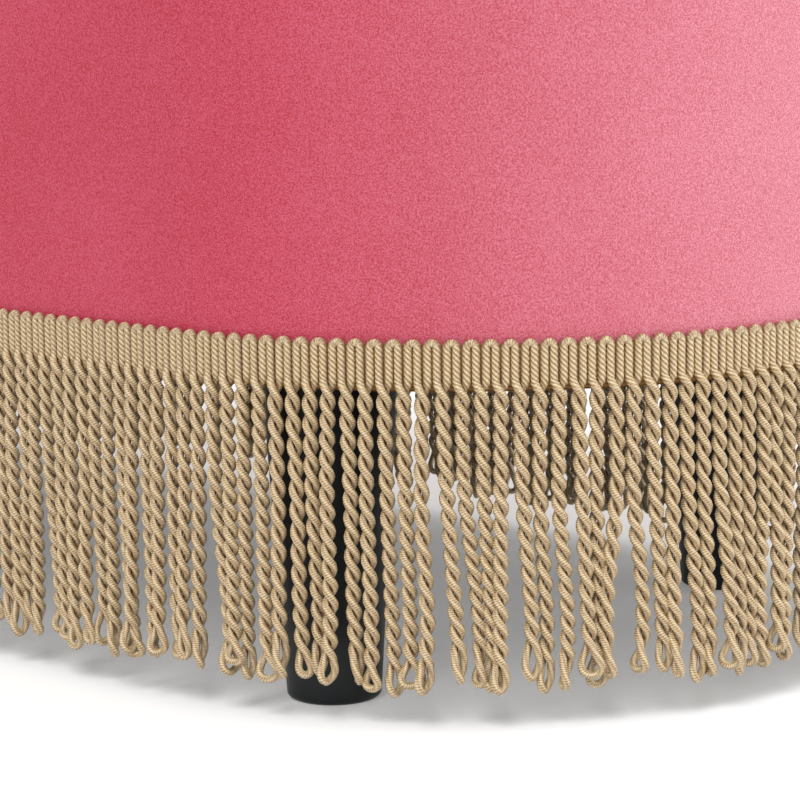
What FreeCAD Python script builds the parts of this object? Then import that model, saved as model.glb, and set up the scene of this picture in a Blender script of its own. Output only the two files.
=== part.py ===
import FreeCAD, Part
import math
import os

import Sketcher

# Storage bench with a racetrack plan: a velvet-covered box with a hinged, padded lid, four tapered
# legs and a bullion fringe that hangs from a header band round the foot of the box.
# Frame: origin on the floor under the middle, X along the bench, Y towards the hinges, Z up.
# All lengths are in millimetres.

SIZES = {
    # plan of the velvet-covered box and lid
    "bench_length": 1000,
    "bench_width": 400,
    # layers of the box wall, from the outside in
    "cover_thickness": 1.2,
    "wrap_thickness": 6,
    "skin_thickness": 3,
    "rail_width": 25,
    "lining_thickness": 2,
    # layers of the box from the floor up
    "dust_thickness": 0.8,
    "board_thickness": 15,
    "floor_thickness": 2.5,
    "floor_clearance": 0.4,
    "box_height": 209,
    "rail_thickness": 15,
    "cover_return": 10,
    # posts between the bottom board and the top rails
    "post_length": 40,
    "post_clearance": 1.2,
    # legs with their studs and tee nuts
    "leg_height": 148,
    "leg_top_diameter": 61,
    "leg_foot_diameter": 43,
    "leg_foot_round": 3,
    "leg_end_offset": 43,
    "leg_side_inset": 50,
    "stud_diameter": 8,
    "stud_depth": 25,
    "nut_flange_diameter": 22,
    "nut_flange_thickness": 1.5,
    "nut_barrel_diameter": 10.5,
    "nut_barrel_length": 12,
    # fringe
    "header_height": 22.4,
    "header_thickness": 4.5,
    "cord_diameter": 6.2,
    "cord_pitch": 8.33,
    "cord_length": 130,
    "cord_length_spread": 4,
    # padded lid
    "lid_gap": 3,
    "lid_height": 88,
    "lid_board_thickness": 12,
    "lid_crown": 12,
    "lid_shoulder": 22,
    "lid_belly": 1.5,
    "lid_lining_thickness": 0.8,
    "lid_lining_clearance": 0.5,
    "bumper_diameter": 12,
    "bumper_clearance": 0.3,
    "bumper_spacing": 400,
    # hinges
    "hinge_length": 64,
    "hinge_end_inset": 80,
    "leaf_width": 32,
    "leaf_thickness": 1.2,
    "barrel_diameter": 7.2,
    "pin_diameter": 4,
    "pin_clearance": 0.05,
    "knuckle_length": 19,
    "knuckle_gap": 0.3,
    # countersunk wood screws
    "frame_screw_diameter": 4,
    "frame_screw_head": 8,
    "frame_screw_length": 35,
    "frame_screw_spacing": 20,
    "hinge_screw_diameter": 3.5,
    "hinge_screw_head": 7,
    "hinge_screw_length": 12,
    "hinge_screw_spacing": 22,
}

POST_COLUMNS = (-1, 0, 1)
HINGE_COLUMNS = {"left": -1, "middle": 0, "right": 1}
HINGE_SCREW_COLUMNS = (-1, 0, 1)
SIDES = {"front": -1, "back": 1}
ENDS = {"left": -1, "right": 1}
GOLDEN_ANGLE = math.pi * (3 - math.sqrt(5))

doc = FreeCAD.newDocument("StorageBench")
sheet = doc.addObject("Spreadsheet::Sheet", "Sizes")
for row, (alias, number) in enumerate(SIZES.items(), start=1):
    sheet.set(f"A{row}", alias)
    sheet.set(f"B{row}", str(number))
    sheet.setAlias(f"B{row}", alias)
doc.recompute()


class Size:
    """A length with its present value and the sheet formula that drives it."""

    def __init__(self, formula, value):
        self.formula = formula
        self.value = value

    def __add__(self, other):
        return Size(f"({self.formula} + {other.formula})", self.value + other.value)

    def __sub__(self, other):
        return Size(f"({self.formula} - {other.formula})", self.value - other.value)

    def __mul__(self, factor):
        return Size(f"({self.formula} * {factor})", self.value * factor)

    def __truediv__(self, divisor):
        return Size(f"({self.formula} / {divisor})", self.value / divisor)

    def __neg__(self):
        return self * -1


def size(alias):
    return Size(f"Sizes.{alias}", float(sheet.get(alias)))


def arc_radius(half_chord, rise):
    """Radius of an arc over a chord, from half the chord and its rise."""
    formula = f"(({half_chord.formula} ^ 2 + {rise.formula} ^ 2) / (2 * {rise.formula}))"
    value = (half_chord.value ** 2 + rise.value ** 2) / (2 * rise.value)
    return Size(formula, value)


ZERO = Size("0", 0.0)

# radii of the round ends, which are also the half widths of the straight part
half_straight = (size("bench_length") - size("bench_width")) / 2
cover_radius = size("bench_width") / 2
wrap_radius = cover_radius - size("cover_thickness")
skin_radius = wrap_radius - size("wrap_thickness")
frame_radius = skin_radius - size("skin_thickness")
rail_radius = frame_radius - size("rail_width")
rail_middle = frame_radius - size("rail_width") / 2
lining_radius = rail_radius - size("lining_thickness")
edge_roll = size("cover_thickness") + size("wrap_thickness")

# heights above the floor
dust_bottom = size("leg_height")
board_bottom = dust_bottom + size("dust_thickness")
board_top = board_bottom + size("board_thickness")
cover_bottom = board_bottom - size("cover_thickness")
rail_top = board_bottom + size("box_height")
rail_bottom = rail_top - size("rail_thickness")
cover_top = rail_top + size("cover_thickness")
hinge_height = cover_top + size("lid_gap") / 2
lid_bottom = cover_top + size("lid_gap")
lid_board_bottom = lid_bottom + size("cover_thickness")
lid_board_top = lid_board_bottom + size("lid_board_thickness")
lid_top = lid_bottom + size("lid_height")
lid_shoulder_top = lid_top - size("lid_crown")
lid_side_top = lid_shoulder_top - size("lid_shoulder")
lid_side_bottom = lid_bottom + edge_roll


def bind(feature, sizes):
    """Drive properties of a feature by the sheet."""
    for name, length in sizes.items():
        feature.setExpression(name, length.formula)


def place(feature, x, y, z):
    bind(feature, {".Placement.Base.x": x, ".Placement.Base.y": y, ".Placement.Base.z": z})


def origin_plane(body, role):
    return next(plane for plane in body.Origin.OriginFeatures if plane.Role == role)


def add_arc(sketch, start, end, radius):
    """Arc from start to end that bulges to the right of that direction."""
    (x1, y1), (x2, y2) = start, end
    chord = math.hypot(x2 - x1, y2 - y1)
    rise = math.sqrt(radius ** 2 - (chord / 2) ** 2)
    centre_x = (x1 + x2) / 2 - (y2 - y1) / chord * rise
    centre_y = (y1 + y2) / 2 + (x2 - x1) / chord * rise
    centre = FreeCAD.Vector(centre_x, centre_y, 0)
    circle = Part.Circle(centre, FreeCAD.Vector(0, 0, 1), radius)
    first = math.atan2(y1 - centre_y, x1 - centre_x)
    last = math.atan2(y2 - centre_y, x2 - centre_x)
    return sketch.addGeometry(Part.ArcOfCircle(circle, first, last), False)


def outline_sketch(body, name, vertices, offset=ZERO):
    """Closed outline in a plane across the bench, with each corner driven by the sheet.

    A vertex is (distance from the middle, height) or, where an arc leads on to the next vertex
    and bulges outwards, (distance, height, arc radius). The outline runs anticlockwise.
    """
    sketch = body.newObject("Sketcher::SketchObject", name)
    sketch.AttachmentSupport = (origin_plane(body, "YZ_Plane"), [""])
    sketch.MapMode = "FlatFace"
    bind(sketch, {".AttachmentOffset.Base.z": offset})
    corners = [(vertex[0].value, vertex[1].value) for vertex in vertices]
    for index, vertex in enumerate(vertices):
        start = corners[index]
        end = corners[(index + 1) % len(corners)]
        if len(vertex) == 3:
            add_arc(sketch, start, end, vertex[2].value)
        else:
            line = Part.LineSegment(FreeCAD.Vector(*start, 0), FreeCAD.Vector(*end, 0))
            sketch.addGeometry(line, False)
    for index, vertex in enumerate(vertices):
        following = (index + 1) % len(vertices)
        sketch.addConstraint(Sketcher.Constraint("Coincident", index, 2, following, 1))
        drive_corner(sketch, index, vertex)
        if len(vertex) == 3:
            drive(sketch, Sketcher.Constraint("Radius", index, vertex[2].value), vertex[2])
    return sketch


def drive(sketch, constraint, length):
    number = sketch.addConstraint(constraint)
    sketch.setExpression(f"Constraints[{number}]", length.formula)


def drive_corner(sketch, index, vertex):
    across, up = vertex[0], vertex[1]
    if across is ZERO:
        sketch.addConstraint(Sketcher.Constraint("PointOnObject", index, 1, -2))
    else:
        drive(sketch, Sketcher.Constraint("DistanceX", -1, 1, index, 1, across.value), across)
    if up is ZERO:
        sketch.addConstraint(Sketcher.Constraint("PointOnObject", index, 1, -1))
    else:
        drive(sketch, Sketcher.Constraint("DistanceY", -1, 1, index, 1, up.value), up)


def revolve(body, name, sketch, degrees, reverse=False):
    feature = body.newObject("PartDesign::Revolution", name)
    feature.Profile = sketch
    feature.ReferenceAxis = (sketch, ["V_Axis"])
    feature.Angle = degrees
    feature.Reversed = reverse
    return feature


def mirror(body, name, feature, role):
    mirrored = body.newObject("PartDesign::Mirrored", name)
    mirrored.Originals = [feature]
    mirrored.MirrorPlane = (origin_plane(body, role), [""])
    body.Tip = mirrored


def racetrack(label, vertices):
    """Outline carried right round the racetrack plan."""
    body = doc.addObject("PartDesign::Body", label)
    straight = body.newObject("PartDesign::Pad", label + "_straight")
    straight.Profile = outline_sketch(body, label + "_section", vertices)
    straight.SideType = "Symmetric"
    bind(straight, {"Length": half_straight * 2})
    end_section = outline_sketch(body, label + "_end_section", vertices, half_straight)
    doc.recompute()
    round_end = revolve(body, label + "_round_end", end_section, 180, reverse=True)
    doc.recompute()
    mirror(body, label + "_other_end", round_end, "YZ_Plane")
    mirror(body, label + "_other_side", straight, "XZ_Plane")
    doc.recompute()
    return body


def half_round(label, vertices, end):
    """Outline carried round one end of the racetrack plan; end is -1 for left and 1 for right."""
    body = doc.addObject("PartDesign::Body", label)
    section = outline_sketch(body, label + "_section", vertices, half_straight * end)
    revolve(body, label + "_turn", section, 180, reverse=end > 0)
    doc.recompute()
    return body


def rectangle(inner, outer, bottom, top):
    return [(inner, bottom), (outer, bottom), (outer, top), (inner, top)]


def box(label, length, width, height, at):
    feature = doc.addObject("Part::Box", label)
    bind(feature, {"Length": length, "Width": width, "Height": height})
    place(feature, *at)
    return feature


def cut(label, base, *tools):
    for number, tool in enumerate(tools, start=1):
        feature = doc.addObject("Part::Cut", label if number == len(tools) else f"{label}_cut{number}")
        feature.Base = base
        feature.Tool = tool
        base = feature
    return base


def fuse(label, shapes):
    feature = doc.addObject("Part::MultiFuse", label)
    feature.Shapes = shapes
    return feature


def group(label, solids):
    """Several separate solids as one sub-part."""
    feature = doc.addObject("Part::Feature", label)
    feature.Shape = Part.makeCompound(solids)
    feature.Placement = FreeCAD.Placement()
    return feature


def screw(kind, point, direction):
    """Countersunk screw whose flat head is at the point."""
    shank = size(kind + "_screw_diameter").value / 2
    head = size(kind + "_screw_head").value / 2
    length = size(kind + "_screw_length").value
    sink = head - shank
    cone = Part.makeCone(head, shank, sink, point, direction)
    return cone.fuse(Part.makeCylinder(shank, length, point, direction)).removeSplitter()


UP = FreeCAD.Vector(0, 0, 1)
DOWN = FreeCAD.Vector(0, 0, -1)

nodes = []


def keep(feature, label):
    """List a finished sub-part, whose label names its file."""
    feature.Label = label
    nodes.append(feature)
    return feature


# places of the posts: (label, middle, whether the post lies along X)
posts_at = []
for side_name, side in SIDES.items():
    for column in POST_COLUMNS:
        posts_at.append((f"{side_name}_{column + 2}", half_straight * column, rail_middle * side, True))
for end_name, end in ENDS.items():
    posts_at.append((f"{end_name}_end", (half_straight + rail_middle) * end, ZERO, False))

post_depth = size("rail_width") - size("post_clearance")
post_shift = size("post_clearance") / 2


def post_screws(height, direction):
    spacing = size("frame_screw_spacing").value / 2
    solids = []
    for _, x, y, along in posts_at:
        for step in (-spacing, spacing):
            shift = FreeCAD.Vector(step, 0, 0) if along else FreeCAD.Vector(0, step, 0)
            point = FreeCAD.Vector(x.value, y.value, height.value) + shift
            solids.append(screw("frame", point, direction))
    return solids


frame_screws_lower = keep(group("FrameScrewsLower", post_screws(board_bottom, UP)), "frame_screws_lower")
frame_screws_upper = keep(group("FrameScrewsUpper", post_screws(rail_top, DOWN)), "frame_screws_upper")

# legs stand under the round ends, each on a stud that screws into a tee nut in the bottom board
leg_x = half_straight + size("leg_end_offset")
leg_y = cover_radius - size("leg_side_inset")
legs_at = [
    (f"{side_name}_{end_name}", leg_x * end, leg_y * side)
    for side_name, side in SIDES.items()
    for end_name, end in ENDS.items()
]

leg_foot_radius = size("leg_foot_diameter") / 2
stud_radius = size("stud_diameter") / 2
stud_bottom = dust_bottom - size("stud_depth")
leg_profile = [
    (ZERO, ZERO),
    (leg_foot_radius - size("leg_foot_round"), ZERO, size("leg_foot_round")),
    (leg_foot_radius, size("leg_foot_round")),
    (size("leg_top_diameter") / 2, dust_bottom),
    (stud_radius, dust_bottom),
    (stud_radius, stud_bottom),
    (ZERO, stud_bottom),
]
for corner, x, y in legs_at:
    leg = doc.addObject("PartDesign::Body", "leg_" + corner)
    leg_section = outline_sketch(leg, f"leg_{corner}_section", leg_profile)
    revolve(leg, f"leg_{corner}_turn", leg_section, 360)
    place(leg, x, y, ZERO)
    keep(leg, "leg_" + corner)


def tee_nut(point):
    """Flanged nut let into the top of the bottom board, with the flange flush."""
    flange_thickness = size("nut_flange_thickness").value
    flange = Part.makeCylinder(size("nut_flange_diameter").value / 2, flange_thickness, point, DOWN)
    barrel_length = size("nut_barrel_length").value
    barrel = Part.makeCylinder(size("nut_barrel_diameter").value / 2, barrel_length, point, DOWN)
    bore = Part.makeCylinder(stud_radius.value, barrel_length, point, DOWN)
    return flange.fuse(barrel).cut(bore).removeSplitter()


def stud(x, y):
    length = board_top - stud_bottom
    return Part.makeCylinder(stud_radius.value, length.value, FreeCAD.Vector(x, y, stud_bottom.value))


leg_points = [FreeCAD.Vector(x.value, y.value, board_top.value) for _, x, y in legs_at]
leg_studs = keep(group("LegStuds", [stud(point.x, point.y) for point in leg_points]), "leg_studs")
leg_tee_nuts = keep(group("LegTeeNuts", [tee_nut(point) for point in leg_points]), "leg_tee_nuts")

# bottom board with the dust cover under it and the covered floor panel on it
board = racetrack("BoardBlank", rectangle(ZERO, frame_radius, board_bottom, board_top))
keep(cut("BottomBoard", board, frame_screws_lower, leg_tee_nuts, leg_studs), "bottom_board")
dust_radius = wrap_radius - size("cover_return")
dust = racetrack("DustBlank", rectangle(ZERO, dust_radius, dust_bottom, board_bottom))
keep(cut("DustCover", dust, leg_studs), "dust_cover")
floor_radius = lining_radius - size("floor_clearance")
floor_top = board_top + size("floor_thickness")
keep(racetrack("FloorPanel", rectangle(ZERO, floor_radius, board_top, floor_top)), "floor_panel")

# posts, each screwed through the bottom board and through a top rail
for label, x, y, along in posts_at:
    outward = -1 if y.value < 0 or x.value < 0 and not along else 1
    length, width = (size("post_length"), post_depth) if along else (post_depth, size("post_length"))
    middle_x = x if along else x - post_shift * outward
    middle_y = y - post_shift * outward if along else y
    corner = (middle_x - length / 2, middle_y - width / 2, board_top)
    blank = box(f"PostBlank_{label}", length, width, rail_bottom - board_top, corner)
    keep(cut(f"Post_{label}", blank, frame_screws_lower, frame_screws_upper), "post_" + label)


# hinges on the back edge: their screws come first, because they drill what they hold
hinge_step = half_straight - size("hinge_end_inset")


def hinge_screws(height, direction):
    solids = []
    for hinge_column in HINGE_COLUMNS.values():
        for screw_column in HINGE_SCREW_COLUMNS:
            x = hinge_step * hinge_column + size("hinge_screw_spacing") * screw_column
            point = FreeCAD.Vector(x.value, rail_middle.value, height.value)
            solids.append(screw("hinge", point, direction))
    return solids


box_leaf_top = cover_top + size("leaf_thickness")
lid_leaf_bottom = lid_bottom - size("leaf_thickness")
hinge_screws_box = keep(group("HingeScrewsBox", hinge_screws(box_leaf_top, DOWN)), "hinge_screws_box")
hinge_screws_lid = keep(group("HingeScrewsLid", hinge_screws(lid_leaf_bottom, UP)), "hinge_screws_lid")


def straight_wall(label, inner, outer, bottom, top, side):
    """Flat wall along one long side."""
    start_y = inner if side > 0 else -outer
    return box(label, half_straight * 2, outer - inner, top - bottom, (-half_straight, start_y, bottom))


# top rails, outer skin and inner lining: two flat sides and two bent ends each
for side_name, side in SIDES.items():
    rail = straight_wall(f"RailBlank_{side_name}", rail_radius, frame_radius, rail_bottom, rail_top, side)
    keep(cut(f"Rail_{side_name}", rail, frame_screws_upper, hinge_screws_box), "top_rail_" + side_name)
    skin = straight_wall(f"Skin_{side_name}", frame_radius, skin_radius, board_bottom, rail_top, side)
    keep(skin, "skin_" + side_name)
    lining = straight_wall(f"Lining_{side_name}", lining_radius, rail_radius, board_top, rail_top, side)
    keep(lining, "lining_" + side_name)
for end_name, end in ENDS.items():
    rail_section = rectangle(rail_radius, frame_radius, rail_bottom, rail_top)
    rail = half_round(f"EndRailBlank_{end_name}", rail_section, end)
    keep(cut(f"EndRail_{end_name}", rail, frame_screws_upper), f"top_rail_{end_name}_end")
    skin_section = rectangle(frame_radius, skin_radius, board_bottom, rail_top)
    keep(half_round(f"EndSkin_{end_name}", skin_section, end), f"skin_{end_name}_end")
    lining_section = rectangle(lining_radius, rail_radius, board_top, rail_top)
    keep(half_round(f"EndLining_{end_name}", lining_section, end), f"lining_{end_name}_end")

# soft wrap round the skin, with a rolled upper edge, and the velvet cover over it
roll_start = cover_top - edge_roll
wrap_section = [
    (skin_radius, board_bottom),
    (wrap_radius, board_bottom),
    (wrap_radius, roll_start, size("wrap_thickness")),
    (skin_radius, rail_top),
]
keep(racetrack("SideWrap", wrap_section), "side_wrap")
cover_section = [
    (dust_radius, cover_bottom),
    (cover_radius, cover_bottom),
    (cover_radius, roll_start, edge_roll),
    (skin_radius, cover_top),
    (rail_radius, cover_top),
    (rail_radius, rail_top),
    (skin_radius, rail_top),
    (wrap_radius, roll_start),
    (wrap_radius, board_bottom),
    (dust_radius, board_bottom),
]
cover_blank = racetrack("SideCoverBlank", cover_section)
keep(cut("SideCover", cover_blank, doc.getObject("SideWrap"), hinge_screws_box), "side_cover")

# padded lid: board, foam with a crowned top and rolled edges, velvet cover and lining
belly_radius = arc_radius((lid_side_top - lid_side_bottom) / 2, size("lid_belly"))
crown_radius = arc_radius(cover_radius - size("lid_shoulder"), size("lid_crown"))


def lid_outside(inset, end_radius, roll):
    """Outer line of the padded lid from its lower edge to the top middle, set in by a thickness."""
    return [
        (skin_radius, lid_bottom + inset, roll),
        (cover_radius - inset, lid_side_bottom, belly_radius - inset),
        (cover_radius - inset, lid_side_top, size("lid_shoulder") - inset),
        (cover_radius - size("lid_shoulder"), lid_shoulder_top - inset, end_radius),
        (ZERO, lid_top - inset),
    ]


foam_outside = lid_outside(size("cover_thickness"), crown_radius, size("wrap_thickness"))
foam_section = foam_outside + [(ZERO, lid_board_top), (skin_radius, lid_board_top)]
lid_foam = keep(racetrack("LidFoam", foam_section), "lid_foam")
lid_board = racetrack("LidBoardBlank", rectangle(ZERO, skin_radius, lid_board_bottom, lid_board_top))
keep(cut("LidBoard", lid_board, hinge_screws_lid), "lid_board")
under_section = rectangle(ZERO, rail_radius, lid_bottom, lid_board_bottom)
shell_section = [(ZERO, lid_bottom)] + lid_outside(ZERO, crown_radius, edge_roll)
lid_shell = racetrack("LidShell", shell_section)
under_opening = racetrack("LidUnderOpening", under_section)
lid_cover = cut("LidCover", lid_shell, lid_foam, lid_board, under_opening, hinge_screws_lid)
keep(lid_cover, "lid_cover")
lid_lining_radius = rail_radius - size("lid_lining_clearance")
lid_lining_bottom = lid_board_bottom - size("lid_lining_thickness")
lid_lining = racetrack("LidLining", rectangle(ZERO, lid_lining_radius, lid_lining_bottom, lid_board_bottom))
keep(lid_lining, "lid_lining")

# rubber bumpers on the rim, under the front of the lid and its two ends
bumper_radius = size("bumper_diameter").value / 2
bumper_height = (size("lid_gap") - size("bumper_clearance")).value
bumper_x = size("bumper_spacing").value / 2
tip_x = (half_straight + rail_middle).value
bumpers_at = [(-bumper_x, -rail_middle.value), (bumper_x, -rail_middle.value), (-tip_x, 0), (tip_x, 0)]
bumpers = [
    Part.makeCylinder(bumper_radius, bumper_height, FreeCAD.Vector(x, y, cover_top.value))
    for x, y in bumpers_at
]
keep(group("LidBumpers", bumpers), "lid_bumpers")

# hinges: two knuckles of the box leaf and one of the lid leaf between them, on one pin
barrel_radius = size("barrel_diameter") / 2
pin_radius = size("pin_diameter") / 2
leaf_edge = cover_radius - barrel_radius - size("knuckle_gap")
leaf_start = cover_radius - size("leaf_width")
lid_knuckle_length = size("hinge_length") - size("knuckle_length") * 2 - size("knuckle_gap") * 2


def rod(label, radius, length, x):
    """Cylinder along the hinge axis that starts at x."""
    feature = doc.addObject("Part::Cylinder", label)
    bind(feature, {"Radius": radius, "Height": length})
    feature.Placement.Rotation = FreeCAD.Rotation(FreeCAD.Vector(0, 1, 0), 90)
    place(feature, x, cover_radius, hinge_height)
    return feature


def hinge_leaf(label, x, leaf_bottom, knuckles, bore_radius, screws):
    """Flat leaf with knuckles, given as (start, length), bored for the pin and drilled."""
    thickness = size("leaf_thickness")
    plate_at = (x, leaf_start, leaf_bottom)
    pieces = [box(label + "_plate", size("hinge_length"), leaf_edge - leaf_start, thickness, plate_at)]
    for number, (start, length) in enumerate(knuckles, start=1):
        tongue_at = (start, leaf_edge, leaf_bottom)
        tongue_reach = cover_radius - leaf_edge
        pieces.append(box(f"{label}_tongue{number}", length, tongue_reach, thickness, tongue_at))
        pieces.append(rod(f"{label}_knuckle{number}", barrel_radius, length, start))
    blank = fuse(label + "_blank", pieces)
    bore = rod(label + "_bore", bore_radius, size("hinge_length"), x)
    return cut(label, blank, bore, screws)


for name, column in HINGE_COLUMNS.items():
    hinge_x = hinge_step * column - size("hinge_length") / 2
    far_x = hinge_x + size("hinge_length") - size("knuckle_length")
    box_knuckles = [(hinge_x, size("knuckle_length")), (far_x, size("knuckle_length"))]
    lid_knuckles = [(hinge_x + size("knuckle_length") + size("knuckle_gap"), lid_knuckle_length)]
    box_leaf = hinge_leaf(f"BoxLeaf_{name}", hinge_x, cover_top, box_knuckles, pin_radius, hinge_screws_box)
    keep(box_leaf, "hinge_leaf_box_" + name)
    running_radius = pin_radius + size("pin_clearance")
    lid_leaf = hinge_leaf(
        f"LidLeaf_{name}", hinge_x, lid_leaf_bottom, lid_knuckles, running_radius, hinge_screws_lid
    )
    keep(lid_leaf, "hinge_leaf_lid_" + name)
    keep(rod(f"HingePin_{name}", pin_radius, size("hinge_length"), hinge_x), "hinge_pin_" + name)

# fringe: the header band on the velvet and the bullion cords that hang below it
header_radius = cover_radius + size("header_thickness")
header_section = rectangle(cover_radius, header_radius, cover_bottom, cover_bottom + size("header_height"))
keep(racetrack("FringeHeader", header_section), "fringe_header")

cord_radius = size("cord_diameter").value / 2
cord_path_radius = cover_radius.value + cord_radius
straight_length = half_straight.value * 2
turn_length = math.pi * cord_path_radius
path_length = 2 * (straight_length + turn_length)
cord_count = round(path_length / size("cord_pitch").value)


def fringe_place(distance):
    """Side of the bench and point at a distance along the cords' path, from the front left."""
    run = straight_length + turn_length
    lap, along = divmod(distance, run)
    sign = 1 if lap < 1 else -1
    if along < straight_length:
        side_name = "front" if sign > 0 else "back"
        point = (along - half_straight.value, -cord_path_radius)
    else:
        side_name = "right_end" if sign > 0 else "left_end"
        angle = (along - straight_length) / cord_path_radius - math.pi / 2
        reach = cord_path_radius * math.cos(angle)
        point = (half_straight.value + reach, cord_path_radius * math.sin(angle))
    return side_name, point[0] * sign, point[1] * sign


def cord(x, y, length):
    """Round cord with a rounded lower end, hung from the lower edge of the header."""
    top = cover_bottom.value
    straight = top - length + cord_radius
    axis_point = FreeCAD.Vector(0, 0, top)
    end = FreeCAD.Vector(0, 0, top - length)
    half_way = cord_radius * math.sqrt(0.5)
    bend = FreeCAD.Vector(half_way, 0, straight - half_way)
    shoulder = FreeCAD.Vector(cord_radius, 0, straight)
    rim = FreeCAD.Vector(cord_radius, 0, top)
    edges = [
        Part.makeLine(axis_point, end),
        Part.Arc(end, bend, shoulder).toShape(),
        Part.makeLine(shoulder, rim),
        Part.makeLine(rim, axis_point),
    ]
    solid = Part.Face(Part.Wire(edges)).revolve(FreeCAD.Vector(), UP, 360)
    solid.translate(FreeCAD.Vector(x, y, 0))
    return solid


cords = {}
for number in range(cord_count):
    side_name, x, y = fringe_place((number + 0.5) * path_length / cord_count)
    length = size("cord_length").value + size("cord_length_spread").value * math.sin(number * GOLDEN_ANGLE)
    cords.setdefault(side_name, []).append(cord(x, y, length))
for side_name, solids in cords.items():
    keep(group(f"FringeCords_{side_name}", solids), "fringe_cords_" + side_name)

doc.recompute()
for feature in doc.Objects:
    if "Invalid" in feature.State or "Error" in feature.State:
        raise RuntimeError(f"{feature.Label} could not be built")
for node in nodes:
    if node.Shape.isNull() or not node.Shape.isValid() or not node.Shape.Solids:
        raise RuntimeError(f"{node.Label} has no valid solid")

os.makedirs("parts", exist_ok=True)
for node in nodes:
    node.Shape.exportStep(f"parts/{node.Label}.step")
    print(node.Label, len(node.Shape.Solids), round(node.Shape.Volume))
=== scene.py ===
import math

import bmesh
import bpy
import numpy as np
from mathutils import Matrix, Vector
from mathutils.bvhtree import BVHTree
from mathutils.kdtree import KDTree


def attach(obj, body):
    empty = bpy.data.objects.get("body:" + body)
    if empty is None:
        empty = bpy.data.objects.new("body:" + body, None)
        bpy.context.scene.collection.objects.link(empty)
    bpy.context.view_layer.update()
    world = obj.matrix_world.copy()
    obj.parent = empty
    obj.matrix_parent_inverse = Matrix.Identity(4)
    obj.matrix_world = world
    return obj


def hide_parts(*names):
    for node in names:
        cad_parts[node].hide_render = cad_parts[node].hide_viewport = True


# Storage bench with a racetrack plan: pink velvet over a box with a hinged, padded lid, black
# tapered legs, and a gold bullion fringe of twisted cords under a woven header. Lengths are in
# metres.

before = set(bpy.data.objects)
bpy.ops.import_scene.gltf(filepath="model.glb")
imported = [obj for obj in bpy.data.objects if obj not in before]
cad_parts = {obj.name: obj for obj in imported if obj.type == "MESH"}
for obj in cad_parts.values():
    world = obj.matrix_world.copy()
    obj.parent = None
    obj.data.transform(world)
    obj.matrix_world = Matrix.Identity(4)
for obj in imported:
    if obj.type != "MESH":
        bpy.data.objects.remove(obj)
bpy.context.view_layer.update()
MM = 0.001
random = np.random.default_rng(41)

# Plan and heights, as in the solids
HALF_STRAIGHT = 300 * MM
VELVET_RADIUS = 200 * MM
VELVET_BOTTOM = 147.6 * MM
RIM_TOP = 359 * MM
RIM_INNER_RADIUS = 164.8 * MM
EDGE_ROLL = 7.2 * MM
RETURN_RADIUS = 188.8 * MM
LINING_RADIUS = 162.8 * MM
LINING_BOTTOM = 163.8 * MM
LINING_TOP = 357.8 * MM
FLOOR_PANEL_RADIUS = 162.4 * MM
FLOOR_PANEL_TOP = 166.3 * MM
LID_BOTTOM = 362 * MM
LID_SIDE_TOP = 416 * MM
LID_SHOULDER = 22 * MM
LID_CROWN_TOP = 450 * MM
LID_BOARD_TOP = 375.2 * MM
LID_LINING_RADIUS = 164.3 * MM
LID_LINING_BOTTOM = 362.4 * MM
DUST_RADIUS = 188.8 * MM
DUST_BOTTOM = 148 * MM
CLOTH = 0.8 * MM
HEADER_TOP = 170 * MM
CORD_PATH_RADIUS = 203.1 * MM
CORD_COUNTS = {"front": 72, "right_end": 76, "back": 72, "left_end": 77}

# Colours, nodes and trees

MATH = "ShaderNodeMath"
VECTOR = "ShaderNodeVectorMath"
NOISE = "ShaderNodeTexNoise"
WAVE = "ShaderNodeTexWave"
MIX = "ShaderNodeMix"
BUMP = "ShaderNodeBump"
RANGE = "ShaderNodeMapRange"
ATTRIBUTE = "ShaderNodeAttribute"
NAMED = "GeometryNodeInputNamedAttribute"
STORE = "GeometryNodeStoreNamedAttribute"


def linear(hex_colour):
    """Linear RGBA colour of an sRGB hex value."""
    parts = [int(hex_colour[i:i + 2], 16) / 255 for i in (1, 3, 5)]
    return [c / 12.92 if c <= 0.04045 else ((c + 0.055) / 1.055) ** 2.4 for c in parts] + [1]


def add(tree, kind, *inputs, **settings):
    """Adds a node with its settings. Inputs fill its sockets in order, or by name from a dict."""
    node = tree.nodes.new(kind)
    for name, value in settings.items():
        setattr(node, name, value)
    sockets = [s for s in node.inputs if s.enabled]
    by_name = {s.name: s for s in reversed(sockets)}
    for place, given in enumerate(inputs):
        pairs = given.items() if isinstance(given, dict) else [(place, given)]
        for key, value in pairs:
            socket = by_name[key] if isinstance(key, str) else sockets[key]
            if isinstance(value, bpy.types.Node):
                value = next(s for s in value.outputs if s.enabled)
            if isinstance(value, bpy.types.NodeSocket):
                tree.links.new(value, socket)
            elif value is not None:
                socket.default_value = value
    return node


def finish_named(name, values):
    """Starts a material whose shader has the given values, with its tree and object coordinates."""
    material = bpy.data.materials.new(name)
    material.use_nodes = True
    tree = material.node_tree
    for socket, value in values.items():
        tree.nodes["Principled BSDF"].inputs[socket].default_value = value
    return material, tree, add(tree, "ShaderNodeTexCoord").outputs["Object"]


def dress(material, colour=None, roughness=None, bump=None, glow=None):
    """Links what a material's nodes give to its shader."""
    tree = material.node_tree
    for socket, node in (("Base Color", colour), ("Roughness", roughness), ("Normal", bump),
                         ("Emission Strength", glow)):
        if node is not None:
            tree.links.new(next(s for s in node.outputs if s.enabled),
                           tree.nodes["Principled BSDF"].inputs[socket])
    return material


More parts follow.
